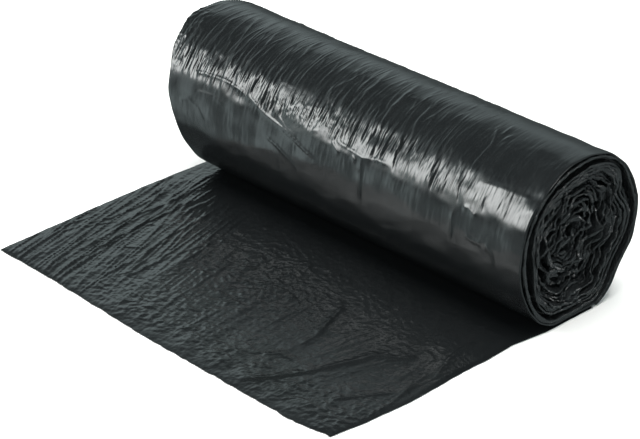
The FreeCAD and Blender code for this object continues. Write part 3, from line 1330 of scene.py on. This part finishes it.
BAG_ROWS = (
    BagRow(0.0, 4.0, 3.4),
    BagRow(0.14, 3.2, 1.2),
    BagRow(0.34, 1.6, -0.3),
    BagRow(0.60, 0.2, 1.2),
    BagRow(0.84, -0.3, 2.0),
    BagRow(1.0, 0.0, 0.0),
)


@dataclass(frozen=True)
class PulledOutBag:
    """The first bag, folded and pulled out flat on the bench, back to where it lies under the roll.

    A pair of numbers, in millimetres, says where something starts and where it is full.
    """

    name: str = "pulled_out_bag"
    spacing: float = 0.60
    hidden_spacing: float = 4.0
    join_reach: float = 20.0
    edge_thickness: float = 0.14
    thickness: float = 0.30
    tuck: float = 0.6
    flat_reach: float = 12.0
    sharp_from: float = 40.0
    bow: float = 3.0
    # Draw lines fan out from the roll, one way at its far end and the other way at its near end
    far_fan: float = 0.29
    far_fan_ends: tuple[float, float] = (-10.0, 75.0)
    near_fan: float = 0.30
    near_fan_starts: tuple[float, float] = (40.0, 90.0)
    near_fan_ends: tuple[float, float] = (95.0, 112.0)
    # Broad swells, long folds, and lines and fine waves that are strongest towards the far end
    rise: float = 0.3
    swell: Waves = Waves(0.5, 46, 38, 68)
    folds: tuple[Waves, ...] = (Waves(0.40, 17, 90, 61), Waves(0.20, 7.5, 60, 62))
    lines: tuple[Waves, ...] = (
        Ridges(0.38, 8, 120, 63, sharpness=8.5),
        Ridges(0.26, 4.6, 60, 69, slant=0.07, sharpness=6.5),
    )
    fine: Waves = Waves(0.09, 2.0, 18, 64)
    calm_reach: float = 45.0
    calm_share: float = 0.3
    far_side_ends: tuple[float, float] = (-70.0, -20.0)
    near_lines: float = 0.35
    far_lines: float = 1.65
    near_fine: float = 0.4
    far_fine: float = 2.2
    # Facets with creases between them, strongest in the bag's middle and along its front edge
    facets: tuple[Waves, ...] = (
        Facets(0.50, 9.0, 7.5, 65),
        Facets(0.34, 4.6, 3.8, 66, shift=3.0),
        Facets(0.22, 2.3, 2.1, 67),
        Ridges(0.34, 9, 7, 78, slant=0.3, sharpness=3.6),
        Ridges(0.22, 5.2, 4.4, 79, sharpness=2.8),
    )
    facets_all_over: float = 0.26
    facets_in_middle: Patch = Patch(0.85, -2, 38, -26, 30)
    facets_in_front: float = 0.60
    front_ends: tuple[float, float] = (8.0, 45.0)
    front_starts: tuple[float, float] = (-95.0, -30.0)
    # The edges' own waves, and the torn front edge with its tongues
    far_edge: tuple[Waves, ...] = (Waves(0.5, 17, 9, 71), Waves(0.2, 5, 9, 72))
    near_edge: tuple[Waves, ...] = (Waves(0.5, 21, 9, 73), Waves(0.15, 6, 9, 74))
    torn_edge: tuple[Waves, ...] = (Waves(0.55, 9, 9, 75), Facets(0.5, 2.1, 9, 76))
    tongues: Waves = Waves(0.7, 4.5, 9, 77)
    tongue_starts: tuple[float, float] = (-40.0, 60.0)

    @property
    def front_back_y(self) -> float:
        """Where the bag goes under the roll."""
        return FORM.axis_y - self.join_reach

    @property
    def end_y(self) -> float:
        """Where the bag's film turns up into the roll."""
        return FORM.axis_y + FORM.flat_half_width

    def lean(self, x: np.ndarray, y: np.ndarray) -> np.ndarray:
        """Where the draw line through each point meets the roll.

        Args:
            x: places along the roll.
            y: places towards the roll.

        Returns:
            The x of each line's foot.
        """
        far = self.far_fan * (1 - smooth_step(*self.far_fan_ends, x))
        near = self.near_fan * smooth_step(*self.near_fan_starts, x)
        near = near * (1 - smooth_step(*self.near_fan_ends, x))
        return x + (far - near) * (y - self.front_back_y)

    def relief(self, x: np.ndarray, y: np.ndarray) -> np.ndarray:
        """How far the top of the bag stands over the bench.

        Args:
            x: places along the roll.
            y: places towards the roll.

        Returns:
            The height at each place, in millimetres.
        """
        drawn = self.lean(x, y)
        away = smooth_step(self.front_back_y, self.front_back_y - self.calm_reach, y)
        free = mix(self.calm_share, 1.0, away)
        far = 1 - smooth_step(*self.far_side_ends, x)
        front = 1 - smooth_step(*self.front_ends, y - FORM.leading_y)
        total = self.rise + self.swell.at(x, y) * away + layered(self.folds, drawn, y) * free
        total = total + layered(self.lines, drawn, y) * mix(self.near_lines, self.far_lines, far) * free
        total = total + self.fine.at(drawn, y) * mix(self.near_fine, self.far_fine, far)
        crumpled = self.facets_all_over + self.facets_in_middle.at(x, y)
        crumpled = crumpled + self.facets_in_front * front * smooth_step(*self.front_starts, x)
        total = total + layered(self.facets, x, y) * crumpled
        for crease in BAG_CREASES:
            total = total + crease.height_at(x, y, np.array(crease.points, float))
        # Where the film would go below the bench it lies on it, with no kink
        total = 0.5 * (total + np.sqrt(total**2 + 0.25))
        under = smooth_step(self.front_back_y + 6, self.front_back_y - 22, y)
        flat = 0.30 + 0.70 * smooth_step(0, self.flat_reach, y - FORM.leading_y + self.bow / 2)
        return self.thickness + total * (0.08 + 0.92 * under) * flat

    def build(self, film: bpy.types.Material) -> bpy.types.Object:
        """Builds the bag as one closed sheet.

        Args:
            film: its material.

        Returns:
            The finished piece.
        """
        length = self.front_back_y - FORM.leading_y
        seen = np.linspace(0, 1, int(length / self.spacing) + 1)
        hidden = np.arange(self.front_back_y + self.hidden_spacing, self.end_y, self.hidden_spacing)
        across = np.linspace(0, 1, int(FORM.film_width / self.spacing) + 1)
        ways = np.concatenate((seen, 1 + (hidden - self.front_back_y) / length))
        share, way = np.meshgrid(across, ways, indexing="ij")
        far_x = float(FORM.far_x(np.array(FORM.upright_height)))
        inset_way = [row.way for row in BAG_ROWS]
        far = far_x + np.interp(way, inset_way, [row.far_inset for row in BAG_ROWS])
        near = FORM.near_x - np.interp(way, inset_way, [row.near_inset for row in BAG_ROWS])
        run = way * length
        far = far + layered(self.far_edge, run, run * 0)
        near = near + layered(self.near_edge, run, run * 0)
        x = mix(far, near, share)
        torn = layered(self.torn_edge, x, x * 0)
        torn = torn + np.maximum(self.tongues.at(x, x * 0), 0) * smooth_step(*self.tongue_starts, x)
        bow = self.bow * smooth_step(-88, 18, x) * (1 - smooth_step(95, 122, x))
        y = FORM.leading_y + 0.5 + (torn - bow) * np.maximum(1 - way * 12, 0) + run
        z = self.relief(x, y)
        rim = np.minimum(np.minimum(share, 1 - share) * FORM.film_width, run) / 2.4
        z = self.edge_thickness + (z - self.edge_thickness) * smooth_step(-0.2, 1.0, rim)
        points = np.stack((x, y, z), axis=-1)
        return self.closed_sheet(points, film)

    def closed_sheet(self, top: np.ndarray, film: bpy.types.Material) -> bpy.types.Object:
        """Closes the sheet with a flat underside that shares a rim with its top.

        Args:
            top: the points of the top, by row and column.
            film: its material.

        Returns:
            The finished piece.
        """
        rows, columns = top.shape[:2]
        number = np.arange(rows * columns).reshape(rows, columns)
        quads = np.stack((number[:-1, :-1], number[1:, :-1], number[1:, 1:], number[:-1, 1:]), axis=-1)
        rim = np.concatenate((number[:-1, 0], number[-1, :-1], number[:0:-1, -1], number[0, :0:-1]))
        foot = top.reshape(-1, 3)[rim].copy()
        middle = foot.mean(axis=0)
        foot[:, :2] -= self.tuck * np.sign(foot[:, :2] - middle[:2])
        foot[:, 2] = 0.0
        below = np.arange(len(rim)) + rows * columns
        after = np.roll(rim, -1), np.roll(below, -1)
        wall = np.stack((rim, below, after[1], after[0]), axis=-1)
        faces = [tuple(q) for q in quads.reshape(-1, 4).tolist()] + [tuple(q) for q in wall.tolist()]
        faces.append(tuple(reversed(below.tolist())))
        points = np.concatenate((top.reshape(-1, 3), foot))
        piece = mesh_piece(self.name, points, faces)
        map_film(piece, points[:, 0], points[:, 1])
        finish_piece(piece, film)
        piece.data.set_sharp_from_angle(angle=math.radians(self.sharp_from))
        return piece


@dataclass(frozen=True)
class Glow:
    """A soft bright part of the studio.

    Each fade names an axis, and where along it the glow starts and where it is full.
    """

    strength: float
    fades: tuple[tuple[str, float, float], ...] = ()


GLOWS = (
    # The dim room, the pale wall behind, a dimmer one in front, and more of the pale one at the far end
    Glow(0.11),
    Glow(0.50, (("Z", 0.75, 0.45), ("Z", 0.0, 0.32), ("Y", -0.60, 0.0))),
    Glow(0.10, (("Z", 0.75, 0.45), ("Z", 0.0, 0.32), ("Y", 0.0, -0.60))),
    Glow(0.40, (("Z", 0.66, 0.38), ("Z", 0.0, 0.32), ("Y", -0.60, 0.0), ("X", -0.640, -0.700))),
    # The bench on the near end's side, and what lies beyond the far end in front
    Glow(0.33, (("Z", 0.10, -0.10), ("X", 0.10, 0.45))),
    Glow(1.35, (("Z", 0.26, 0.14), ("Y", -0.40, -0.60), ("X", -0.640, -0.690))),
    Glow(0.45, (("Z", 0.10, -0.02), ("Y", -0.40, -0.60))),
    # The diffusing cloth round the softbox, with soft edges
    Glow(2.4, (("Z", 0.12, 0.36), ("Z", 0.78, 0.55), ("Y", -0.30, -0.55), ("X", -0.35, -0.58))),
)


@dataclass(frozen=True)
class Studio:
    """A white paper bench, a low softbox and its cloth in front, two more lights, walls and the camera."""

    paper_size: float = 24.0
    paper_drop: float = 0.0002
    lens: float = 140.256
    sensor: float = 36.0
    camera_place: tuple[float, float, float] = (0.75631, -0.70656, 0.56344)
    camera_back: tuple[float, float, float] = (0.64314548, -0.61051188, 0.46221114)
    target: tuple[float, float, float] = (0.0, 0.055, 0.06)
    box_azimuth: float = -133.0
    box_elevation: float = 25.0
    box_distance: float = 2.5
    box_size: tuple[float, float] = (0.75, 0.75)
    box_power: float = 18.0
    light_colour: str = "#FFFFFD"
    middle_size: tuple[float, float] = (1.25, 0.95)
    middle_power: float = 14.0
    end_azimuth: float = 20.0
    end_elevation: float = 14.0
    end_size: tuple[float, float] = (0.4, 0.4)
    end_power: float = 14.0
    top_height: float = 2.4
    top_size: float = 2.2
    top_power: float = 110.0
    world_colour: str = "#E7FAFB"

    def area_light(
        self, name: str, place: Vector, size: tuple[float, float], power: float
    ) -> bpy.types.Object:
        """Adds a rectangular light that faces the roll.

        Args:
            name: the light's name.
            place: where it is, in metres.
            size: its width and height, in metres.
            power: its power in watts.

        Returns:
            The light.
        """
        light = bpy.data.lights.new(name, "AREA")
        light.shape = "RECTANGLE"
        light.size, light.size_y = size
        light.energy = power
        light.color = linear(self.light_colour)[:3]
        lamp = bpy.data.objects.new(name, light)
        lamp.location = place
        lamp.rotation_mode = "QUATERNION"
        lamp.rotation_quaternion = (Vector(self.target) - place).to_track_quat("-Z", "Y")
        bpy.context.scene.collection.objects.link(lamp)
        return lamp

    def build(self) -> bpy.types.Object:
        """Builds the bench, the lights, the world and the camera.

        Returns:
            The bench paper.
        """
        paper = self.paper()
        front = self.in_front(self.box_azimuth, self.box_elevation)
        self.area_light("softbox", front, self.box_size, self.box_power)
        self.area_light("softbox_middle", front, self.middle_size, self.middle_power)
        end = self.in_front(self.end_azimuth, self.end_elevation)
        self.area_light("end_light", end, self.end_size, self.end_power)
        above = Vector((self.target[0], self.target[1], self.top_height))
        overhead = self.area_light("top_light", above, (self.top_size,) * 2, self.top_power)
        overhead.visible_glossy = False
        bpy.context.scene.world = self.walls()
        bpy.context.scene.view_settings.view_transform = "Standard"
        self.camera()
        return paper

    def in_front(self, azimuth: float, elevation: float) -> Vector:
        """A place at the softbox's distance from the roll.

        Args:
            azimuth: the direction round the roll, in degrees.
            elevation: the angle over the bench, in degrees.

        Returns:
            The place, in metres.
        """
        turned, raised = math.radians(azimuth), math.radians(elevation)
        level = math.cos(raised)
        way = Vector((math.cos(turned) * level, math.sin(turned) * level, math.sin(raised)))
        return Vector(self.target) + way * self.box_distance

    def walls(self) -> bpy.types.World:
        """Builds the studio round the bench, as the sum of its glows.

        Returns:
            The world.
        """
        world = bpy.data.worlds.new("studio_walls")
        world.use_nodes = True
        tree = world.node_tree
        tree.nodes.clear()
        way = add_node(tree, "ShaderNodeTexCoord")
        apart = add_node(tree, "ShaderNodeSeparateXYZ", {"Vector": way.outputs["Generated"]})
        total = 0.0
        for glow in GLOWS:
            part = glow.strength
            for axis, start, full in glow.fades:
                span = {"Value": apart.outputs[axis], "From Min": start, "From Max": full}
                fade = add_node(tree, "ShaderNodeMapRange", span)
                factors = {0: fade.outputs["Result"], 1: part}
                part = add_node(tree, "ShaderNodeMath", factors, operation="MULTIPLY").outputs["Value"]
            total = add_node(tree, "ShaderNodeMath", {0: part, 1: total}, operation="ADD").outputs["Value"]
        light = add_node(
            tree,
            "ShaderNodeBackground",
            {"Color": linear(self.world_colour), "Strength": total},
        )
        add_node(tree, "ShaderNodeOutputWorld", {"Surface": light.outputs["Background"]})
        return world

    def paper(self) -> bpy.types.Object:
        """Lays the bench paper, as one flat sheet.

        Returns:
            The paper.
        """
        half = self.paper_size / 2
        corners = [(-half, -half), (half, -half), (half, half), (-half, half)]
        mesh = bpy.data.meshes.new("bench_paper")
        mesh.from_pydata([(x, y, -self.paper_drop) for x, y in corners], [], [(0, 1, 2, 3)])
        mesh.materials.append(BenchPaper().material())
        paper = bpy.data.objects.new("bench_paper", mesh)
        paper.visible_glossy = False
        bpy.context.scene.collection.objects.link(paper)
        return paper

    def camera(self) -> None:
        """Adds the camera, at the photograph's viewing angle."""
        lens = bpy.data.cameras.new("camera")
        lens.lens = self.lens
        lens.sensor_width = self.sensor
        lens.sensor_fit = "HORIZONTAL"
        lens.clip_start = 0.01
        camera = bpy.data.objects.new("camera", lens)
        camera.location = self.camera_place
        camera.rotation_mode = "QUATERNION"
        camera.rotation_quaternion = (-Vector(self.camera_back)).to_track_quat("-Z", "Y")
        bpy.context.scene.collection.objects.link(camera)
        bpy.context.scene.camera = camera


def main() -> None:
    logging.basicConfig(level=logging.INFO, format="%(name)s: %(message)s")
    wound = WoundFilm("black_ldpe_film_wound").material()
    # Painted light: the crumpled film inside the roll is a lighter copy of the same black film, to brighten
    # the recessed near end
    loose = LooseFilm(
        "black_ldpe_film_crumpled", colour="#1C1E1F", gloss_low=0.10, gloss_high=0.24
    ).material()
    laid = LooseFilm(
        "black_ldpe_film_laid", gloss_low=0.14, gloss_high=0.24, crease_mm=2.4, crease_height_mm=0.20
    ).material()
    paper = Studio().build()
    outer = OuterTurn().build(wound)
    turns = WoundTurns().build(loose)
    bag = PulledOutBag().build(laid)
    register(outer)
    register(turns)
    register(bag)


if __name__ == "__main__":
    main()
